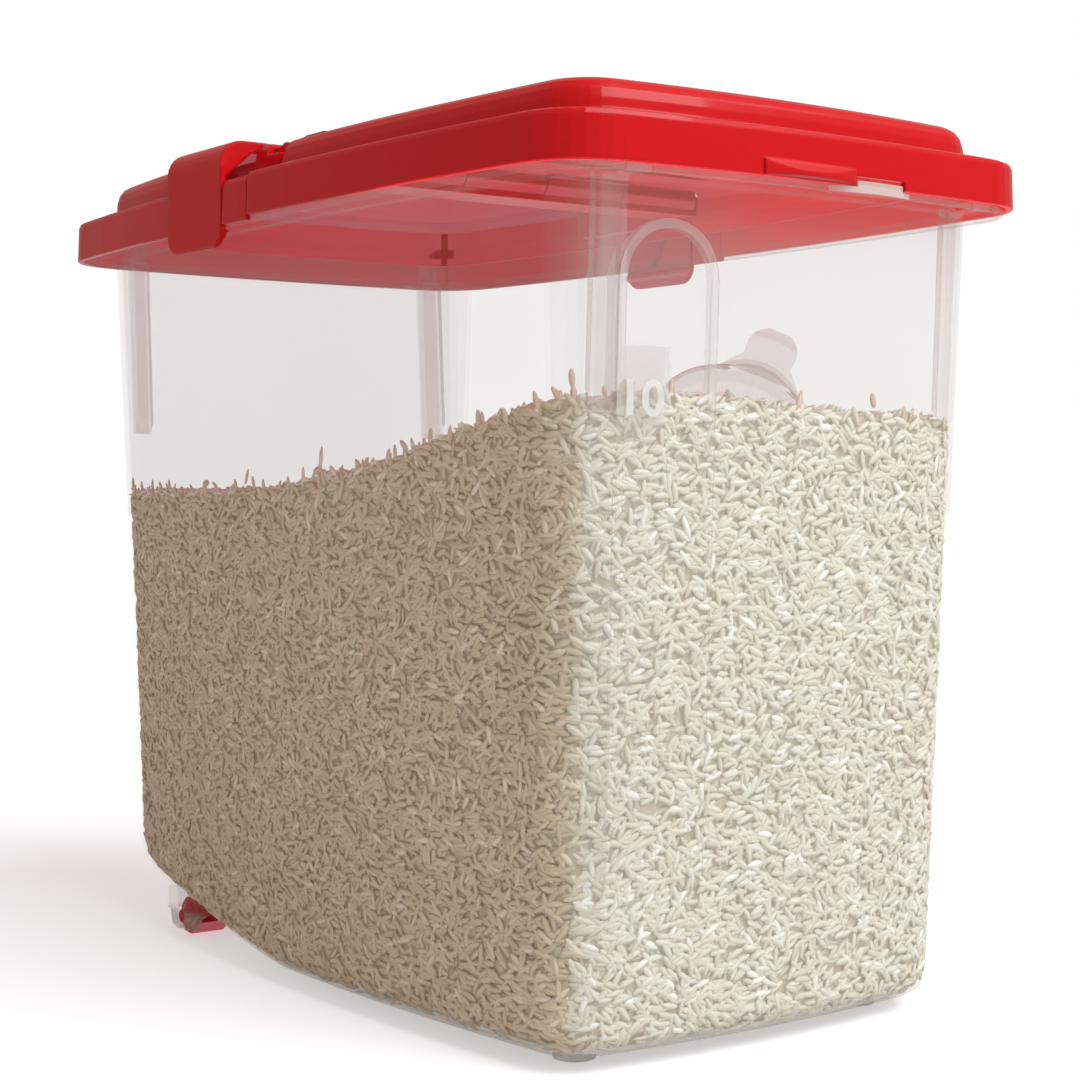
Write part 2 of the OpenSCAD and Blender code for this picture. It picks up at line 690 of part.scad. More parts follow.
// Heap of rice: high at the front, falling towards the rear
rice_rear_z = 189;
rice_rise = 29;
rice_run = 220;
function rice_top(y) = rice_rear_z + rice_rise * pow(max(0, min(1, 1 - (y - front_y) / rice_run)), 1.5);
function rice_half(d) =
  [for (i = [0 : half_n - 1])
    let (z = rice_top(wall_xy(i, 200, d)[1]), p = wall_xy(i, z, d)) [p[0], p[1], z]];
rice_gap = 0.4;

// Room that the cup needs in the rice, from where it lies up to where it is lifted out
module cup_room() {
  hull()
    for (lift = [0, cup_lift])
      translate(cup_at + [0, 0, lift])
        rotate(cup_tilt)
          translate([0, 0, -1.5])
            cylinder(r1 = cup_r - 2.5, r2 = cup_r + 3.4, h = cup_h + 3, $fn = 32);
}

module rice_fill() {
  fit = wall + rice_gap;
  color(grain)
    difference() {
      ring_loft(concat(
        [for (a = edge_angles) floor_half(a, fit)],
        [rice_half(fit + 0.6)]));
      cup_room();
      for (x = [-rib_x, rib_x])
        translate([x - rib_w / 2 - 1.5, front_y - 4, rib_z - 4])
          cube([rib_w + 3, 17, 60]);
    }
}

bin_body();
rear_lid();
front_lid();
side_clip_left();
side_clip_right();
roller_left();
roller_right();
measuring_cup();
rice_fill();
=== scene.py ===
# %% [markdown]
# Rice bin with a flip lid. The fixed frame below comes from the solid model: body, lid halves,
# clips, rollers, cup and rice. This script dresses that frame: it gives every moulding its
# plastic, and swaps the solid heap of rice for thousands of grains.
# Lengths are in metres throughout. MM turns a millimetre figure into metres.

import math

import bpy
import numpy as np
from mathutils import Matrix, Vector


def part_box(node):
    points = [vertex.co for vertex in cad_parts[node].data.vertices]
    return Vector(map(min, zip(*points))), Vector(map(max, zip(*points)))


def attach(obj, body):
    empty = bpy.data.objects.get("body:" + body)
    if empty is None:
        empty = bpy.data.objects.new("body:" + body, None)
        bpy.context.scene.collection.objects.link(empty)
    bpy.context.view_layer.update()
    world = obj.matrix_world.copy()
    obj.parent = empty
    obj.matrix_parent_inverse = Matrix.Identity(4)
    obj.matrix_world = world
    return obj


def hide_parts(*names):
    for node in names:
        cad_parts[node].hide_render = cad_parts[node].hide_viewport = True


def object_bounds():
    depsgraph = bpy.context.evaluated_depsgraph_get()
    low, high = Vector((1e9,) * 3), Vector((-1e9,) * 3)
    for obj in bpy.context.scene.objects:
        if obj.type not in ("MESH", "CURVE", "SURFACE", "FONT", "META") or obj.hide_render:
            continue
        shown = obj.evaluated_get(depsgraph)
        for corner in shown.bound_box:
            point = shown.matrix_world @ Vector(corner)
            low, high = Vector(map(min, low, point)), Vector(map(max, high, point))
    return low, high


MM = 0.001

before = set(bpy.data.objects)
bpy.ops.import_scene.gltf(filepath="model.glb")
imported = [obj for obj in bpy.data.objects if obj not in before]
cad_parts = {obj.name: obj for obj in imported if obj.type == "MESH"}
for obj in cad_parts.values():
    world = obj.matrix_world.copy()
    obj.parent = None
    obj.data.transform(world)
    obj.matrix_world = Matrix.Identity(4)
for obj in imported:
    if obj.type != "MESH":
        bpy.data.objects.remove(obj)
cad_box = [list(corner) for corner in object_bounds()]
low, high = (Vector(corner) for corner in cad_box)
print("frame box, mm:", [round((b - a) / MM, 1) for a, b in zip(low, high)])

# %% [markdown]
# The camera. A photograph taken close to a box shows strong perspective: the upright near corner
# looks taller than the far ones. So the camera stands where the real one stood, about 0.85 m from
# the bin and lower than its lid, and its lens is chosen to fill the frame from there.

# %% Camera
CAMERA_PLACE = Vector((-477.4, -683.6, 187.4)) * MM
CAMERA_AZIMUTH = -36.0
CAMERA_DOWN = 1.41
CAMERA_ROLL = 0.14
FRAME_PIXELS = 1080
FOCAL_PIXELS = 2095.8
SENSOR_WIDTH = 36.0
NEAREST, FARTHEST = 0.01, 50


def add_object(name, data):
    """A new object with this mesh, lamp or camera, placed in the scene."""
    item = bpy.data.objects.new(name, data)
    bpy.context.scene.collection.objects.link(item)
    return item


def look_vector(azimuth, down):
    """Unit vector along the camera's view: azimuth 0 looks along +Y."""
    a, d = math.radians(azimuth), math.radians(down)
    return Vector((-math.sin(a) * math.cos(d), math.cos(a) * math.cos(d), -math.sin(d)))


def make_camera():
    lens = bpy.data.cameras.new("view")
    lens.sensor_width = SENSOR_WIDTH
    lens.lens = FOCAL_PIXELS / FRAME_PIXELS * SENSOR_WIDTH
    lens.clip_start, lens.clip_end = NEAREST, FARTHEST
    camera = add_object("view", lens)
    turn = look_vector(CAMERA_AZIMUTH, CAMERA_DOWN).to_track_quat("-Z", "Y")
    roll = Matrix.Rotation(math.radians(CAMERA_ROLL), 4, "Z")
    camera.matrix_world = Matrix.Translation(CAMERA_PLACE) @ turn.to_matrix().to_4x4() @ roll
    bpy.context.scene.camera = camera
    return camera


camera = make_camera()
print("camera lens, mm:", round(camera.data.lens, 2))

# %% [markdown]
# Shader maths. A material is a graph of nodes, but a formula is easier to read than a graph.
# Wired wraps one output socket, so that `mask * 0.5 + 0.2` adds the Math nodes by itself, and
# `node` adds any other kind from its type, its settings and its sockets.


# %% A small wrapper for sockets
class Wired:
    """One output socket of a material's graph, with arithmetic."""

    def __init__(self, tree, socket):
        self.tree, self.socket = tree, socket

    def node(self, kind, settings=(), **sockets):
        return add_node(self.tree, kind, settings, **sockets)

    def maths(self, operation, *values):
        places = {f"_{i}": value for i, value in enumerate(values)}
        return self.node("ShaderNodeMath", {"operation": operation}, **places)

    def __add__(self, other):
        return self.maths("ADD", self, other)

    def __sub__(self, other):
        return self.maths("SUBTRACT", self, other)

    def __rsub__(self, other):
        return self.maths("SUBTRACT", other, self)

    def __mul__(self, other):
        return self.maths("MULTIPLY", self, other)

    __radd__, __rmul__ = __add__, __mul__

    def size(self):
        """The value without its sign."""
        return self.maths("ABSOLUTE", self)

    def most(self, other):
        return self.maths("MAXIMUM", self, other)

    def above(self, other):
        return self.maths("GREATER_THAN", self, other)

    def below(self, other):
        return self.maths("LESS_THAN", self, other)

    def between(self, start, end):
        """1 where the value is between the two limits, else 0."""
        return self.above(start) * self.below(end)

    def ramp(self, start, end, low=0.0, high=1.0):
        """Goes smoothly from low to high while this value goes from start to end."""
        settings = {"interpolation_type": "SMOOTHSTEP"}
        return self.node("ShaderNodeMapRange", settings, _0=self, _1=start, _2=end, _3=low, _4=high)

    def at(self, name):
        """Another output of the same node."""
        return Wired(self.tree, self.socket.node.outputs[name])


def add_node(tree, kind, settings=(), **sockets):
    """Adds a node: its settings, then its sockets by name, or by place if named _0, _1, ..."""
    node = tree.nodes.new(kind)
    for name, value in dict(settings).items():
        setattr(node, name, value)
    for name, value in sockets.items():
        key = int(name[1:]) if name[0] == "_" else name.replace("_", " ")
        socket = node.inputs[key]
        if isinstance(value, Wired):
            tree.links.new(value.socket, socket)
        else:
            socket.default_value = value
    return Wired(tree, node.outputs[0])


def new_material(name):
    """A material with an empty graph, its output node, and the object's own coordinates."""
    material = bpy.data.materials.new(name)
    material.use_nodes = True
    tree = material.node_tree
    tree.nodes.clear()
    output = tree.nodes.new("ShaderNodeOutputMaterial")
    place = add_node(tree, "ShaderNodeTexCoord").at("Object")
    return material, tree, output, place


def split_axes(tree, vector):
    """The X, Y and Z of a vector."""
    split = add_node(tree, "ShaderNodeSeparateXYZ", Vector=vector)
    return split, split.at("Y"), split.at("Z")


def noise(tree, place, scale, detail):
    return add_node(tree, "ShaderNodeTexNoise", Vector=place, Scale=scale, Detail=detail)


def mixed(tree, share, none, full):
    """The colour none where share is 0, full where it is 1."""
    mix = add_node(tree, "ShaderNodeMix", {"data_type": "RGBA"}, Factor=share, _6=none, _7=full)
    return Wired(tree, mix.socket.node.outputs[2])


def principled(tree, output, **sockets):
    """The shader of a plastic or a grain, joined to the material's output."""
    shader = add_node(tree, "ShaderNodeBsdfPrincipled", **sockets)
    tree.links.new(shader.socket, output.inputs["Surface"])


def linear(red, green, blue):
    """A colour read from a picture, 0 to 255, as the linear values of a shader (sRGB's curve)."""
    steps = [c / 255 for c in (red, green, blue)]
    return (*[c / 12.92 if c <= 0.04045 else ((c + 0.055) / 1.055) ** 2.4 for c in steps], 1.0)


print("shader helpers ready")

# %% [markdown]
# The lid, the clips and the rollers are injection-moulded in a strong red. Such a moulding is
# smooth but not a mirror: its surface carries a faint grain of the mould and a slow waviness from
# shrinkage. Two noises make the bump, a fine one and a broad one, and a third varies roughness.
# The lid is thin enough for some daylight to come through it. That light is painted on as a glow of
# its own on the underside, over a darker base colour there which is painted shade: a strong red
# glow in front, and a paler one at the rear. Faces that look inward get some of the painted glow
# too. The Bevel node rounds the moulding's edges in the shading alone.


# %% Red moulded plastic
PLASTIC_IOR = 1.49
RED = linear(206, 15, 22)
# painted shade: the underside of the lid gets a darker red than the rest of the moulding
SHADED_UNDER_RED = linear(140, 10, 15)
PATCH_SHADE = 0.92
MOULD_WAVES, MOULD_GRAIN, TONE_PATCHES = 28.0, 2200.0, 9.0
GRAIN_HEIGHT = 0.03
PATCH_ROUGHNESS = 0.06
# painted light: the underside's glow in front and at the rear, the span where it changes, and the
# share on inward faces
PAINTED_GLOW_FRONT = (0.63, 0.008, 0.016, 1.0)
PAINTED_GLOW_REAR = (0.3, 0.075, 0.095, 1.0)
PAINTED_GLOW_CHANGE = (40 * MM, -60 * MM)
PAINTED_GLOW_ASIDE = 0.55
NO_GLOW = (0, 0, 0, 1)
HOLLOW_X = 112 * MM
HOLLOW_Y = 188 * MM
DOWNWARD = -0.3
INWARD_X, INWARD_Y = -60 * MM, -140 * MM
EDGE_SOFTNESS = 1.6 * MM


def mould_bump(tree, place, wave):
    """Waves and grain of the mould, over edges that the Bevel node rounds."""
    height = noise(tree, place, MOULD_WAVES, 1.0) * wave
    height = height + noise(tree, place, MOULD_GRAIN, 2.0) * GRAIN_HEIGHT
    soft = add_node(tree, "ShaderNodeBevel", {"samples": 6}, Radius=EDGE_SOFTNESS)
    sockets = {"Strength": 0.4, "Distance": 0.3 * MM, "Height": height, "Normal": soft}
    return add_node(tree, "ShaderNodeBump", **sockets)


def red_plastic(name, roughness, wave):
    material, tree, output, place = new_material(name)
    tone = noise(tree, place, TONE_PATCHES, 3.0)
    darker = tuple(c * PATCH_SHADE for c in RED[:3]) + (1.0,)
    x, y, z = split_axes(tree, place)
    facing_x, facing_y, facing_z = split_axes(tree, place.at("Normal"))
    inside = x.size().below(HOLLOW_X) * y.size().below(HOLLOW_Y)
    under = facing_z.below(DOWNWARD) * inside
    inward = (x * facing_x).below(INWARD_X).most((y * facing_y).below(INWARD_Y))
    # painted light: undersides glow, and inward faces glow less; undersides also get the
    # painted-shade base
    painted_glow_share = under.most(inward * PAINTED_GLOW_ASIDE)
    glow = mixed(tree, y.ramp(*PAINTED_GLOW_CHANGE), PAINTED_GLOW_REAR, PAINTED_GLOW_FRONT)
    principled(
        tree,
        output,
        Base_Color=mixed(tree, under, mixed(tree, tone, RED, darker), SHADED_UNDER_RED),
        Emission_Color=mixed(tree, painted_glow_share, NO_GLOW, glow),
        Emission_Strength=1.0,
        Roughness=tone * PATCH_ROUGHNESS + (roughness - PATCH_ROUGHNESS / 2),
        Specular_IOR_Level=0.1,
        Coat_Weight=0.3,
        Coat_Roughness=0.04,
        Normal=mould_bump(tree, place, wave),
        IOR=PLASTIC_IOR,
    )
    return material


lid_red = red_plastic("lid_red", roughness=0.3, wave=0.4)
clip_red = red_plastic("clip_red", roughness=0.36, wave=0.3)
roller_red = red_plastic("roller_red", roughness=0.42, wave=0.2)
print("red plastics:", lid_red.name, clip_red.name, roller_red.name)

# %% [markdown]
# The bin is thin natural polypropylene. It lets most light through and scatters a little, which
# gives the milky veil. A wall this thin does not bend light enough to see, so refraction is left
# out and the veil is an alpha: low on the walls, and higher where the moulding is thick. Those
# places are found from the surface's own coordinates: the ribs in the corners, the band and strip
# of the gauge, the catch tongue, the outer edge of the rim, and the ears of the rollers.

# %% Milky plastic
WALL_ALPHA = 0.05
END_WALL_ADD = 0.09
EAR_ADD, CORNER_ADD, RIB_ADD = 0.3, 0.05, 0.2
RIM_ADD, TONGUE_ADD, GAUGE_ADD = 0.16, 0.5, 0.24
FLOW_ALPHA = 0.02
RIM_LINE, RIM_HEIGHT = 283.9 * MM, 3 * MM
EAR_LINE, EAR_FADE = 12 * MM, 4 * MM
RIB_MIDDLE = 76 * MM
RIB_EDGES = (5.0 * MM, 4.0 * MM)
RIB_FOOT = 211 * MM
TONGUE_LINE = -186.1 * MM
GAUGE_MIDDLE = -55 * MM
GAUGE_CENTRE = 253.4 * MM
GAUGE_RADIUS = 17.6 * MM
GAUGE_HALF_BAND = 1.55 * MM
GAUGE_FOOT = 58 * MM
STRIP_RIGHT = -54.3 * MM
STRIP_TOP = 232.2 * MM
RICE_LOW, RICE_HIGH = 200 * MM, 214 * MM
BEHIND_RICE = 0.15
FRONT_ZONE = -140 * MM
CORNER_X = 82 * MM
CORNER_Y = 155 * MM
CORNER_MIDDLE = 1.5 * MM


def gauge_mask(x, y, z):
    """1 on the raised band and strip of the gauge."""
    aside = x - GAUGE_MIDDLE
    over = (z - GAUGE_CENTRE).most(0.0)
    square = aside * aside + over * over
    far = square.maths("SQRT", square)
    band = (far - GAUGE_RADIUS).size().below(GAUGE_HALF_BAND) * z.above(GAUGE_FOOT)
    strip = x.between(GAUGE_MIDDLE - GAUGE_RADIUS, STRIP_RIGHT) * z.between(GAUGE_FOOT, STRIP_TOP)
    return band.most(strip) * y.below(FRONT_ZONE)


def clear_of_rice(z):
    """Relief in the wall hardly shows where white rice lies behind it."""
    return z.ramp(RICE_LOW, RICE_HIGH, BEHIND_RICE, 1.0)


def thick_places(x, y, z, level, endways):
    """How much alpha is added where the moulding is thick."""
    ears = z.ramp(EAR_LINE, EAR_LINE - EAR_FADE)
    rib = (x.size() - RIB_MIDDLE).size().ramp(*RIB_EDGES) * z.above(RIB_FOOT)
    rim_edge = z.above(RIM_LINE) * z.below(RIM_LINE + RIM_HEIGHT) * level.below(0.5)
    corner = x.size().above(CORNER_X) * (y - CORNER_MIDDLE).size().above(CORNER_Y)
    gauge = gauge_mask(x, y, z) * clear_of_rice(z)
    edges = ears * EAR_ADD + corner * CORNER_ADD + rib * RIB_ADD + rim_edge * RIM_ADD
    front = y.below(TONGUE_LINE) * TONGUE_ADD + gauge * GAUGE_ADD
    return edges + front + endways.ramp(0.5, 0.9) * END_WALL_ADD


def milky_plastic(name, tint, roughness):
    material, tree, output, place = new_material(name)
    facing_x, facing_y, facing_z = split_axes(tree, place.at("Normal"))
    thick = thick_places(*split_axes(tree, place), facing_z.size(), facing_y.size())
    flow = noise(tree, place, 14.0, 2.0)
    principled(
        tree,
        output,
        Base_Color=tint,
        Roughness=roughness,
        Alpha=thick + (flow * FLOW_ALPHA + (WALL_ALPHA - FLOW_ALPHA / 2)),
        Normal=add_node(tree, "ShaderNodeBump", Strength=0.3, Distance=0.4 * MM, Height=flow),
        IOR=PLASTIC_IOR,
    )
    return material


body_milk = milky_plastic("body_milk", linear(212, 201, 194), 0.2)
print("wall alpha:", WALL_ALPHA)

# %% [markdown]
# The measuring cup lies tilted in the rice. Its own height is measured along its axis, so that its
# rim and handle can be denser than its thin wall, whichever way the cup lies. The same measures
# place painted light: the rim's edge is a darker grey, painted shade for the dark line along it,
# and the bowl has a warm tint, painted light from the red lid.

# %% Clear plastic of the cup
CUP_ALPHA = 0.07
CUP_TILT = math.radians(45)
CUP_YAW = math.radians(-27)
CUP_MOUTH = Vector((12, -126, 213.6)) * MM
CUP_LEAN = Vector((math.sin(CUP_YAW), -math.cos(CUP_YAW), 0)) * math.sin(CUP_TILT)
CUP_AXIS = CUP_LEAN + Vector((0, 0, math.cos(CUP_TILT)))
CUP_RIM_R = 26.2 * MM
CUP_RIM_OUT = CUP_RIM_R + 2.2 * MM
CUP_RIM_LOW, CUP_BAND_LOW = -1.9 * MM, -6.2 * MM
CUP_FOLD = CUP_RIM_R + 11 * MM
CUP_CREASE = (CUP_RIM_R + 10.4 * MM, CUP_RIM_R + 11.4 * MM)
CUP_TINT = linear(214, 202, 200)
# painted light: a warm tint on the bowl for the red lid's light on it
CUP_BOWL_PAINTED_LIGHT = linear(240, 212, 180)
# painted shade: a darker grey on the edge of the rim
CUP_RIM_PAINTED_SHADE = linear(190, 177, 172)
RIM_EDGE_ADD, BAND_ADD, BOWL_ADD = 0.3, 0.14, 0.08
HANDLE_ADD, FOLD_ADD, CREASE_ADD = 0.1, 0.06, 0.12


def cup_measures(tree, place):
    """Distance from the middle of the mouth, and height over the mouth along the cup's axis."""
    vector = "ShaderNodeVectorMath"
    from_mouth = add_node(tree, vector, {"operation": "SUBTRACT"}, _0=place, _1=CUP_MOUTH)
    along = add_node(tree, vector, {"operation": "DOT_PRODUCT"}, _0=from_mouth, _1=CUP_AXIS)
    far = add_node(tree, vector, {"operation": "LENGTH"}, _0=from_mouth)
    return far.at("Value"), along.at("Value")


def cup_plastic(name):
    material, tree, output, place = new_material(name)
    flow = noise(tree, place, 40.0, 2.0)
    far, along = cup_measures(tree, place)
    rim_edge = along.above(CUP_RIM_LOW) * far.between(CUP_RIM_R, CUP_RIM_OUT)
    band = along.above(CUP_BAND_LOW) * far.below(CUP_RIM_R + 1 * MM)
    bowl = along.below(CUP_BAND_LOW)
    thick = rim_edge * RIM_EDGE_ADD + band * BAND_ADD + bowl * BOWL_ADD
    thick = thick + far.above(CUP_RIM_OUT) * HANDLE_ADD + far.above(CUP_FOLD) * FOLD_ADD
    thick = thick + far.between(*CUP_CREASE) * CREASE_ADD
    body_tint = mixed(tree, bowl, CUP_TINT, CUP_BOWL_PAINTED_LIGHT)
    principled(
        tree,
        output,
        Base_Color=mixed(tree, rim_edge, body_tint, CUP_RIM_PAINTED_SHADE),
        Roughness=flow * 0.1 + 0.15,
        Alpha=thick + (flow * 0.04 + (CUP_ALPHA - 0.02)),
        Normal=add_node(tree, "ShaderNodeBump", Strength=0.2, Distance=0.2 * MM, Height=flow),
        IOR=PLASTIC_IOR,
    )
    return material


cup_clear = cup_plastic("cup_clear")
print("cup alpha:", CUP_ALPHA)

# %% Finishes onto the frame's own pieces
FINISHES = {
    "bin_body": body_milk,
    "rear_lid": lid_red,
    "front_lid": lid_red,
    "side_clip_left": clip_red,
    "side_clip_right": clip_red,
    "roller_left": roller_red,
    "roller_right": roller_red,
    "measuring_cup": cup_clear,
}
for node, finish in FINISHES.items():
    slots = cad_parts[node].data.materials
    slots.clear()
    slots.append(finish)
print("finished:", ", ".join(FINISHES))

# %% [markdown]
# Rice. A solid with a bumpy surface never looks like grains through a clear wall, so the heap is
# built from real ones. Each grain is a spindle of a few faces, smooth shaded. Copies are scattered
# over the surface of the solid heap: against a wall they lie flat to it, and on top they lie any
# way they fell. numpy places all grains of a face group at once, which takes about a second.

# %% One grain of rice
GRAIN_LENGTH = 6.6 * MM
GRAIN_WIDTH = 2.5 * MM
GRAIN_THICK = 1.3 * MM
GRAIN_SIDES = 4
GRAIN_RINGS = ((-0.86, 0.52), (-0.45, 0.93), (0.35, 0.97), (0.84, 0.5))


def grain_shape():
    """Points and triangles of one grain along X, centred on the origin."""
    points = [(-1, 0, 0)]
    for along, around in GRAIN_RINGS:
        for side in range(GRAIN_SIDES):
            turn = math.tau * side / GRAIN_SIDES
            points.append((along, around * math.cos(turn), around * math.sin(turn)))
    points.append((1, 0, 0))
    end, faces = len(points) - 1, []
    for side in range(GRAIN_SIDES):
        after = (side + 1) % GRAIN_SIDES
        faces.append((0, 1 + after, 1 + side))
        last = 1 + GRAIN_SIDES * (len(GRAIN_RINGS) - 1)
        faces.append((end, last + side, last + after))
        for ring in range(len(GRAIN_RINGS) - 1):
            a, b = 1 + ring * GRAIN_SIDES, 1 + (ring + 1) * GRAIN_SIDES
            faces += [(a + side, a + after, b + after), (a + side, b + after, b + side)]
    return np.array(points) * [GRAIN_LENGTH / 2, GRAIN_WIDTH / 2, GRAIN_THICK / 2], np.array(faces)


grain_points, grain_faces = grain_shape()
print("one grain:", len(grain_points), "points,", len(grain_faces), "triangles")

# %% The heap's surface, read from the frame
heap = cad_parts["rice_fill"].data
heap.calc_loop_triangles()
heap_points = np.array([v.co[:] for v in heap.vertices])
heap_faces = np.array([t.vertices[:] for t in heap.loop_triangles])
corners = heap_points[heap_faces]
cross = np.cross(corners[:, 1] - corners[:, 0], corners[:, 2] - corners[:, 0])
face_area = np.linalg.norm(cross, axis=1) / 2
face_normal = cross / np.maximum(np.linalg.norm(cross, axis=1, keepdims=True), 1e-12)
face_middle = corners.mean(axis=1)
print("heap surface, square cm:", round(face_area.sum() * 1e4))

# %% Sides of the heap
HEAP_TOP_MIN = 180 * MM
ENDWAYS = 0.72
CUP_ROOM_BEFORE = np.array([6, 8, 8]) * MM
CUP_ROOM_AFTER = np.array([6, 14, 1000]) * MM
is_top = (face_normal[:, 2] > 0.5) & (face_middle[:, 2] > HEAP_TOP_MIN)
is_floor = face_normal[:, 2] < -0.6
upright = ~is_top & ~is_floor
cup_low, cup_high = (np.array(corner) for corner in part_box("measuring_cup"))
room_low = cup_low - CUP_ROOM_BEFORE
room_high = cup_high + CUP_ROOM_AFTER
in_cup_room = upright & (face_middle > room_low).all(axis=1) & (face_middle < room_high).all(axis=1)
outward = upright & ~in_cup_room
across, endways = face_normal[:, 0], face_normal[:, 1]
HEAP_SIDES = {
    "front": outward & (endways < -ENDWAYS),
    "left": outward & (across < 0) & (np.abs(endways) <= ENDWAYS),
    "right": outward & (across > 0) & (np.abs(endways) <= ENDWAYS),
    "rear": outward & (endways > ENDWAYS),
    "floor": is_floor,
    "top": is_top,
    "cup_room": in_cup_room,
}
print({side: round(face_area[mask].sum() * 1e4) for side, mask in HEAP_SIDES.items()})

# %% Scatter grains over a group of faces
chance = np.random.default_rng(11)


def scatter_points(mask, per_square_mm):
    """Even random points on the faces in mask, with their normals."""
    area = face_area[mask]
    count = int(area.sum() / MM**2 * per_square_mm)
    pick = chance.choice(len(area), count, p=area / area.sum())
    u, v = chance.random(count), chance.random(count)
    flip = u + v > 1
    u[flip], v[flip] = 1 - u[flip], 1 - v[flip]
    a, b, c = (corners[mask][pick][:, i] for i in range(3))
    return a + (b - a) * u[:, None] + (c - a) * v[:, None], face_normal[mask][pick]


def unit(v):
    return v / np.maximum(np.linalg.norm(v, axis=1, keepdims=True), 1e-12)


LEVEL_SPREAD = 0.8


def grain_axes(normals, tilt, level):
    """Length, width and thickness directions of grains lying on a surface.

    They are tipped out of it by about tilt radians. With level set, most of them lie level along
    an upright surface, to within about LEVEL_SPREAD radians.
    """
    helper = np.where(np.abs(normals[:, 2:3]) < 0.9, [[0.0, 0.0, 1.0]], [[1.0, 0.0, 0.0]])
    side = unit(np.cross(helper, normals))
    up = np.cross(normals, side)
    count = len(normals)
    turn = chance.normal(0, LEVEL_SPREAD, count) if level else chance.random(count) * math.tau
    flat = side * np.cos(turn)[:, None] + up * np.sin(turn)[:, None]
    lean = chance.normal(0, tilt, count)[:, None]
    along = unit(flat * np.cos(lean) + normals * np.sin(lean))
    roll = unit(np.cross(normals, along))
    return along, roll, np.cross(along, roll)


def place_grains(places, axes, sizes):
    """All points of all grains: one grain's points, turned and moved to each grain's place."""
    along, across, thick = axes
    local = grain_points[None] * sizes[:, None]
    turned = local[:, :, :1] * along[:, None] + local[:, :, 1:2] * across[:, None]
    return turned + local[:, :, 2:] * thick[:, None] + places[:, None]


print("scatter helpers ready")

# %% [markdown]
# Rice is not one colour. Most grains are a warm translucent white, some are chalky and some are
# greyer. Four constant colours, handed out at random, give that without any texture. Light enters
# each grain and comes out beside it: a faint glow of its own, painted light, stands in for that and
# keeps the gaps from going dark. Grains against the shaded left and rear walls get browner copies
# of the colours, which is painted shade, and those that cling to the walls above the heap get
# redder copies, painted red light from the lid.


# %% Shades of rice
RICE_IOR = 1.5


def rice_shade(name, colour, roughness, glow):
    material, tree, output, place = new_material(name)
    fine = noise(tree, place, 900.0, 1.0)
    principled(
        tree,
        output,
        Base_Color=colour,
        Emission_Color=colour,
        Emission_Strength=glow,
        Roughness=roughness,
        Specular_IOR_Level=0.3,
        Normal=add_node(tree, "ShaderNodeBump", Strength=0.25, Distance=0.1 * MM, Height=fine),
        IOR=RICE_IOR,
    )
    return material


RICE_COLOURS = {
    "warm": (linear(217, 211, 193), 0.4),
    "pale": (linear(222, 218, 203), 0.45),
    "grey": (linear(211, 204, 186), 0.38),
    "chalky": (linear(238, 236, 228), 0.55),
}
SHADE_SHARE = (0.46, 0.28, 0.2, 0.06)


def rice_set(ending, painted_lighting_tint, glow):
    """The four shades of rice times a tint: white leaves them as they are, a browner one paints
    shade, a redder one paints the lid's red light.
    """
    shades = []
    for name, (colour, roughness) in RICE_COLOURS.items():
        tinted = (*[c * f for c, f in zip(colour, painted_lighting_tint)], 1.0)
        shades.append(rice_shade(f"rice_{name}{ending}", tinted, roughness, glow))
    return shades


rice_shades = rice_set("", painted_lighting_tint=(1, 1, 1), glow=0.13)
# painted shade: browner, less glowing copies for grains against the shaded left and rear walls
painted_shade_rice = rice_set("_left", painted_lighting_tint=(0.91, 0.8, 0.7), glow=0.06)
# painted light: redder copies for the clinging grains, for the lid's red light on them
cling_red_light_shades = rice_set("_cling", painted_lighting_tint=(0.95, 0.78, 0.73), glow=0.1)
# painted light: the core glows a little so the gaps between grains stay light
rice_core_shade = rice_shade("rice_core", linear(216, 206, 184), roughness=0.8, glow=0.1)
print("rice shades:", [m.name for m in rice_shades + painted_shade_rice + cling_red_light_shades])


# %% Grains into a mesh
def grain_mesh(name, points, shades):
    """One object from an array of grains, each with one of the shades."""
    count, per_grain = points.shape[:2]
    offsets = np.arange(count)[:, None, None] * per_grain
    faces = (grain_faces[None] + offsets).reshape(-1, 3)
    mesh = bpy.data.meshes.new(name)
    mesh.vertices.add(count * per_grain)
    mesh.vertices.foreach_set("co", points.reshape(-1).astype(np.float32))
    mesh.loops.add(len(faces) * 3)
    mesh.loops.foreach_set("vertex_index", faces.reshape(-1).astype(np.int32))
    mesh.polygons.add(len(faces))
    mesh.polygons.foreach_set("loop_start", np.arange(0, len(faces) * 3, 3, dtype=np.int32))
    mesh.polygons.foreach_set("use_smooth", np.ones(len(faces), dtype=bool))
    shade = chance.choice(len(shades), count, p=SHADE_SHARE)
    mesh.polygons.foreach_set("material_index", np.repeat(shade, len(grain_faces)).astype(np.int32))
    for material in shades:
        mesh.materials.append(material)
    mesh.update()
    mesh.validate()
    piece = add_object(name, mesh)
    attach(piece, "bin")
    return piece


# %% [markdown]
# The solid heap has the same height from side to side. Real rice that has been scooped is highest
# in one corner and lies a few millimetres lower everywhere else, so its top is let down there.


# %% The lie of the heap
MOUND = np.array([-92.0, -171.0]) * MM
MOUND_FROM, MOUND_TO = 40 * MM, 120 * MM
MOUND_DROP = 4.5 * MM
SETTLE_FROM, SETTLE_TO = 150 * MM, 188 * MM


def smooth_step(value, start, end):
    t = ((value - start) / (end - start)).clip(0, 1)
    return t * t * (3 - 2 * t)


def settle(points):
    """Lets the top of the heap down, more the farther it is from the mound in the near corner."""
    away = np.hypot(points[..., 0] - MOUND[0], points[..., 1] - MOUND[1])
    drop = MOUND_DROP * smooth_step(away, MOUND_FROM, MOUND_TO)
    lower = points.copy()
    lower[..., 2] -= drop * smooth_step(points[..., 2], SETTLE_FROM, SETTLE_TO)
    return lower


print("drop of the heap, mm:", MOUND_DROP / MM)

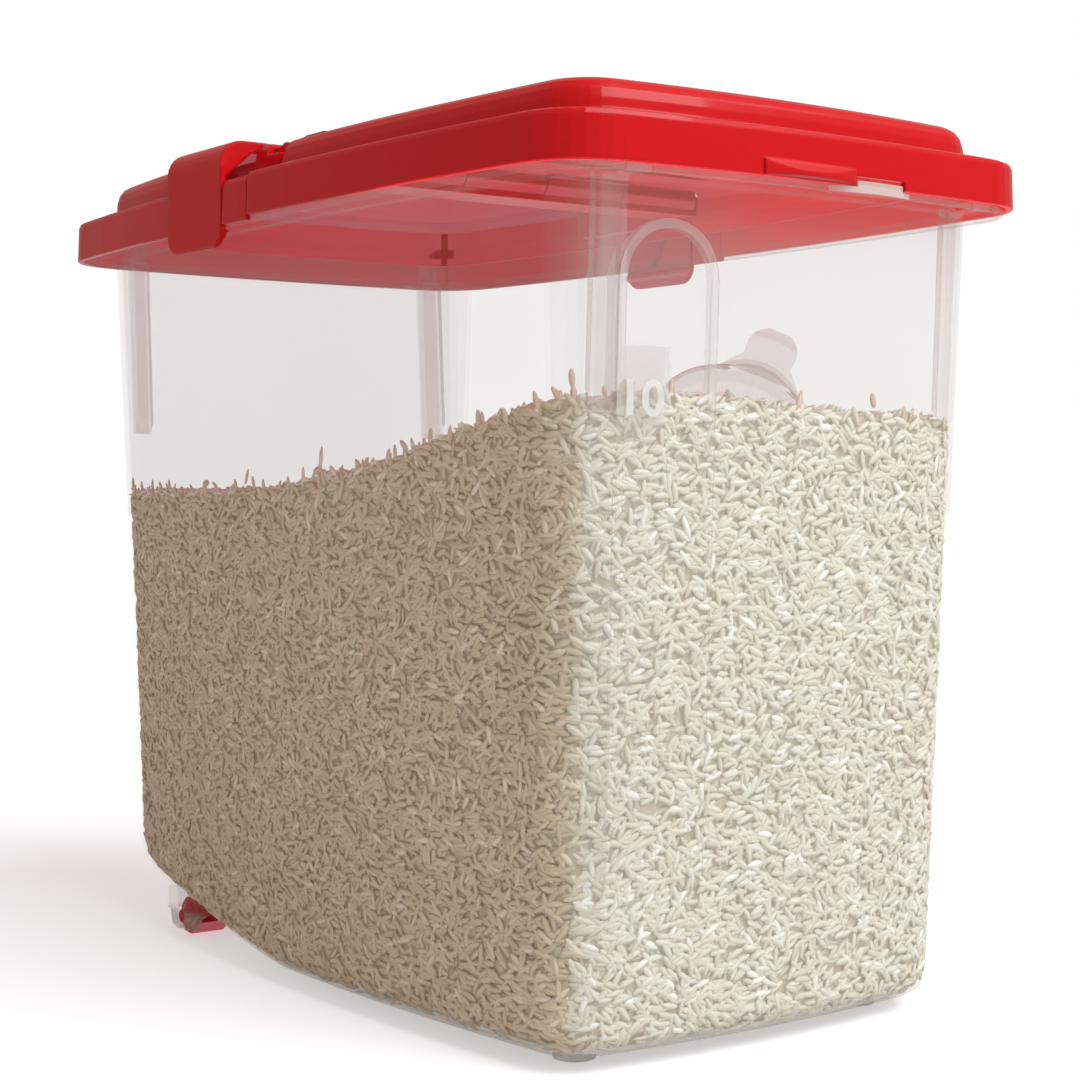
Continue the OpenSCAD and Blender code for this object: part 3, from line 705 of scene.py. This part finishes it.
# %% Grains against the walls and on top
# for each side: grains per square mm in the outer and the deeper layer, and how much they tip
GRAIN_DENSITY = {
    "front": (0.15, 0.10, 0.035),
    "left": (0.15, 0.09, 0.035),
    "right": (0.14, 0.06, 0.035),
    "rear": (0.14, 0.06, 0.035),
    "floor": (0.11, 0.0, 0.035),
    "top": (0.13, 0.08, 0.25),
    "cup_room": (0.13, 0.0, 0.2),
}
SKIN_DEPTH = -1.3 * MM
LAYER_DEPTH = 1.0 * MM
DEPTH_SPREAD = 0.6 * MM
SIZE_SPREAD = (0.09, 0.08, 0.08)
LEAST_SIZE, MOST_SIZE = 0.75, 1.2
WALL_SIDES = ("front", "left", "right", "rear")
rice_pieces = []
for side, (outer, deeper, tilt) in GRAIN_DENSITY.items():
    mask = HEAP_SIDES[side]
    layers = []
    for density, depth in ((outer, SKIN_DEPTH), (deeper, SKIN_DEPTH + LAYER_DEPTH)):
        if density == 0:
            continue
        places, normals = scatter_points(mask, density)
        axes = grain_axes(normals, tilt, level=side in WALL_SIDES)
        reach = np.abs((axes[0] * normals).sum(1)) * GRAIN_LENGTH / 2
        held_in = reach * (0 if side == "top" else 1)
        inset = depth + chance.random(len(places)) * DEPTH_SPREAD + held_in
        sizes = chance.normal(1, SIZE_SPREAD, (len(places), 3)).clip(LEAST_SIZE, MOST_SIZE)
        layers.append(place_grains(settle(places - normals * inset[:, None]), axes, sizes))
    points = np.concatenate(layers)
    # the shaded left and rear sides take the painted-shade copies
    shades = painted_shade_rice if side in ("left", "rear") else rice_shades
    rice_pieces.append(grain_mesh("rice_" + side, points, shades))
    print("rice_" + side, len(points), "grains")

# %% [markdown]
# Where rice has slid along a wall, single grains cling to the plastic above the heap, most of them
# on end. They are placed by height above the heap's own top edge, many low and a few high.

# %% Grains that cling to the walls
CLING_COUNT = {"left": 85, "right": 50, "front": 10, "rear": 25}
CLING_MEAN = 1.9 * MM
CLING_HIGHEST = 9 * MM
CLING_DEPTH = -0.6 * MM
CLING_ZONE = 6 * MM
CLING_LEAN = 0.45
top_order = np.argsort(face_middle[is_top, 1])
top_line = face_middle[is_top][top_order][:, 1:]
cling_places, cling_normals = [], []
for side, count in CLING_COUNT.items():
    places, normals = scatter_points(HEAP_SIDES[side], 0.2)
    edge = np.interp(places[:, 1], top_line[:, 0], top_line[:, 1])
    near = np.abs(edge - places[:, 2]) < CLING_ZONE
    places, normals, edge = places[near][:count], normals[near][:count], edge[near][:count]
    above = chance.exponential(CLING_MEAN, len(places)).clip(0, CLING_HIGHEST)
    above -= edge - settle(np.column_stack([places[:, :2], edge]))[:, 2]
    places[:, 2] = edge + above
    cling_places.append(places - normals * CLING_DEPTH)
    cling_normals.append(normals)
cling_places, cling_normals = np.concatenate(cling_places), np.concatenate(cling_normals)
cling_shape = (len(cling_places), 3)
upward = np.array([[0.0, 0.0, 1.0]]) + chance.normal(0, CLING_LEAN, cling_shape)
along = unit(upward - cling_normals * (upward * cling_normals).sum(1)[:, None])
roll = unit(np.cross(cling_normals, along))
sizes = chance.normal(1, 0.08, cling_shape).clip(0.8, MOST_SIZE)
clinging = place_grains(cling_places, (along, roll, np.cross(along, roll)), sizes)
rice_pieces.append(grain_mesh("rice_clinging", clinging, cling_red_light_shades))
print("clinging grains:", len(clinging))

# %% [markdown]
# Behind the grains the heap is opaque. A copy of its surface, drawn in a little, is
# the core: it is what shows in the gaps between grains. It has a faint glow of its own, painted
# light that keeps the gaps from going dark.

# %% The core of the heap
CORE_INSET = 0.2 * MM
node_normals = np.array([v.normal[:] for v in heap.vertices])
core_mesh = heap.copy()
core_mesh.name = "rice_core"
core_points = settle(heap_points - node_normals * CORE_INSET)
core_mesh.vertices.foreach_set("co", core_points.reshape(-1).astype(np.float32))
core_mesh.materials.clear()
core_mesh.materials.append(rice_core_shade)
core_mesh.update()
rice_core = add_object("rice_core", core_mesh)
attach(rice_core, "bin")
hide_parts("rice_fill")
print("core inset, mm:", CORE_INSET / MM)

# %% [markdown]
# The gauge counts the rice in kilograms, from 2 up to 10. Its numbers are raised on the strip:
# Blender's own letter shapes, turned into a thin mesh and laid onto the bowed front wall. They are
# whiter than the wall's own plastic: painted light for the light the raised numbers catch.

# %% Numbers on the gauge
NUMBER_HEIGHT = 11.5 * MM
NUMBER_STRETCH = 1.1
NUMBER_BOLD = 0.35 * MM
NUMBER_X = -64.6 * MM
NUMBER_RAISE = 0.25 * MM
TEN_MARK = 210.6 * MM
KILO_STEP = 20.4 * MM
CAP_SHARE = 0.729
WALL_LINE, WALL_RIM, WALL_HALF = -171 * MM, 287 * MM, 71.3 * MM
WALL_DRAFT, WALL_BOW = 10.5 * MM, 4 * MM
STRIP_PROUD = 0.35 * MM


def wall_y(x, z):
    """The front of the gauge strip: its bow and its draft, from the frame's own sizes."""
    slope = WALL_DRAFT * (1 - z / WALL_RIM)
    bow = WALL_BOW * (1 - min(1, (x / WALL_HALF) ** 2))
    return WALL_LINE + slope - bow - STRIP_PROUD


def number_piece(text, foot):
    letters = bpy.data.curves.new("number_" + text, "FONT")
    letters.body, letters.align_x = text, "CENTER"
    letters.size = NUMBER_HEIGHT / CAP_SHARE
    letters.extrude = NUMBER_RAISE / 2
    letters.offset = NUMBER_BOLD
    letters.resolution_u = 6
    holder = bpy.data.objects.new("letters", letters)
    mesh = bpy.data.meshes.new_from_object(holder)
    bpy.data.objects.remove(holder)
    for vertex in mesh.vertices:
        across, up, out = vertex.co
        x, z = NUMBER_X + across * NUMBER_STRETCH, foot + up
        vertex.co = (x, wall_y(x, z) - out, z)
    mesh.materials.clear()
    mesh.materials.append(number_painted_light)
    piece = add_object("number_" + text, mesh)
    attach(piece, "bin")
    return piece


NUMBER_ALPHA = 0.45


def number_plastic(name):
    material, tree, output, place = new_material(name)
    flow = noise(tree, place, 60.0, 2.0)
    x, y, z = split_axes(tree, place)
    principled(
        tree,
        output,
        # painted light: near white, whiter than the wall, for the light the numbers catch
        Base_Color=linear(250, 249, 247),
        Roughness=flow * 0.1 + 0.2,
        Alpha=(flow * 0.06 + NUMBER_ALPHA) * clear_of_rice(z),
        IOR=PLASTIC_IOR,
    )
    return material


number_painted_light = number_plastic("number_painted_light")
MARKS = (10, 8, 6, 4, 2)
numbers = [number_piece(str(mark), TEN_MARK - (10 - mark) * KILO_STEP) for mark in MARKS]
print("numbers:", [piece.name for piece in numbers])

# %% [markdown]
# The stage. A pale floor under a soft studio light: the whole sky gives an even fill, and one
# large lamp to the right of the front gives the front wall its light and leaves the long side
# in shade. The floor adds a little glow of its own for the camera, so it reads as white where
# nothing shades it and still takes the bin's shadow.

# %% Floor and world
SKY_FILL = 0.42
FILL_COLOUR = (1.0, 0.83, 0.76, 1.0)
KEY_COLOUR = (0.84, 0.96, 1.0)
GLOW_NEAR, GLOW_FAR = 0.45, 0.85
GLOW_START, GLOW_END = 0.5, 3.0
WHITE = (1, 1, 1, 1)
PALE = (0.8, 0.8, 0.8, 1.0)
FLOOR_REACH = 12.0
FLOOR_DROP = 0.2 * MM


def make_floor():
    mesh = bpy.data.meshes.new("floor")
    signs = ((-1, -1), (1, -1), (1, 1), (-1, 1))
    floor_corners = [(x * FLOOR_REACH, y * FLOOR_REACH, 0) for x, y in signs]
    mesh.from_pydata(floor_corners, [], [(0, 1, 2, 3)])
    floor = add_object("floor", mesh)
    floor.location.z = low.z - FLOOR_DROP
    material, tree, output, place = new_material("pale_floor")
    matt = add_node(tree, "ShaderNodeBsdfDiffuse", Color=PALE)
    seen = add_node(tree, "ShaderNodeLightPath").at("Is Camera Ray")
    far = add_node(tree, "ShaderNodeVectorMath", {"operation": "LENGTH"}, _0=place).at("Value")
    strength = seen * far.ramp(GLOW_START, GLOW_END, GLOW_NEAR, GLOW_FAR)
    glow = add_node(tree, "ShaderNodeEmission", Color=WHITE, Strength=strength)
    both = add_node(tree, "ShaderNodeAddShader", _0=matt, _1=glow)
    tree.links.new(both.socket, output.inputs["Surface"])
    mesh.materials.append(material)
    return floor


def make_world():
    world = bpy.data.worlds.new("studio")
    bpy.context.scene.world = world
    world.use_nodes = True
    tree = world.node_tree
    tree.nodes.clear()
    output = tree.nodes.new("ShaderNodeOutputWorld")
    path = add_node(tree, "ShaderNodeLightPath")
    direct = path.at("Is Camera Ray").most(path.at("Is Transmission Ray"))
    fill = add_node(tree, "ShaderNodeBackground", Color=FILL_COLOUR, Strength=SKY_FILL)
    white = add_node(tree, "ShaderNodeBackground", Color=WHITE, Strength=1.0)
    light = add_node(tree, "ShaderNodeMixShader", _0=direct, _1=fill, _2=white)
    tree.links.new(light.socket, output.inputs["Surface"])


floor = make_floor()
make_world()
print("sky fill:", SKY_FILL)


# %% Lamps
def soft_lamp(name, azimuth, elevation, distance, size, power, colour):
    """A lamp that looks at the middle of the bin, from in front at azimuth 0, right at 90."""
    lamp = bpy.data.lights.new(name, "AREA")
    lamp.shape = "RECTANGLE"
    lamp.size, lamp.size_y = size
    lamp.energy, lamp.color = power, colour
    middle = (low + high) / 2
    a, e = math.radians(azimuth), math.radians(elevation)
    back = Vector((math.sin(a) * math.cos(e), -math.cos(a) * math.cos(e), math.sin(e)))
    item = add_object(name, lamp)
    item.location = middle + back * distance
    item.rotation_mode = "QUATERNION"
    item.rotation_quaternion = (-back).to_track_quat("-Z", "Y")
    return item


KEY = {"azimuth": 14, "elevation": 50, "distance": 2.4, "size": (1.8, 1.8), "power": 58}
GLINT = {"azimuth": 55, "elevation": 46, "distance": 1.8, "size": (0.2, 0.05), "power": 3.5}
key = soft_lamp("key", colour=KEY_COLOUR, **KEY)
glint = soft_lamp("glint", colour=WHITE[:3], **GLINT)
print("lamps, W:", key.data.energy, glint.data.energy)

# %% Colour handling and the end
bpy.context.scene.view_settings.view_transform = "Standard"
bpy.context.scene.cycles.transparent_max_bounces = 32
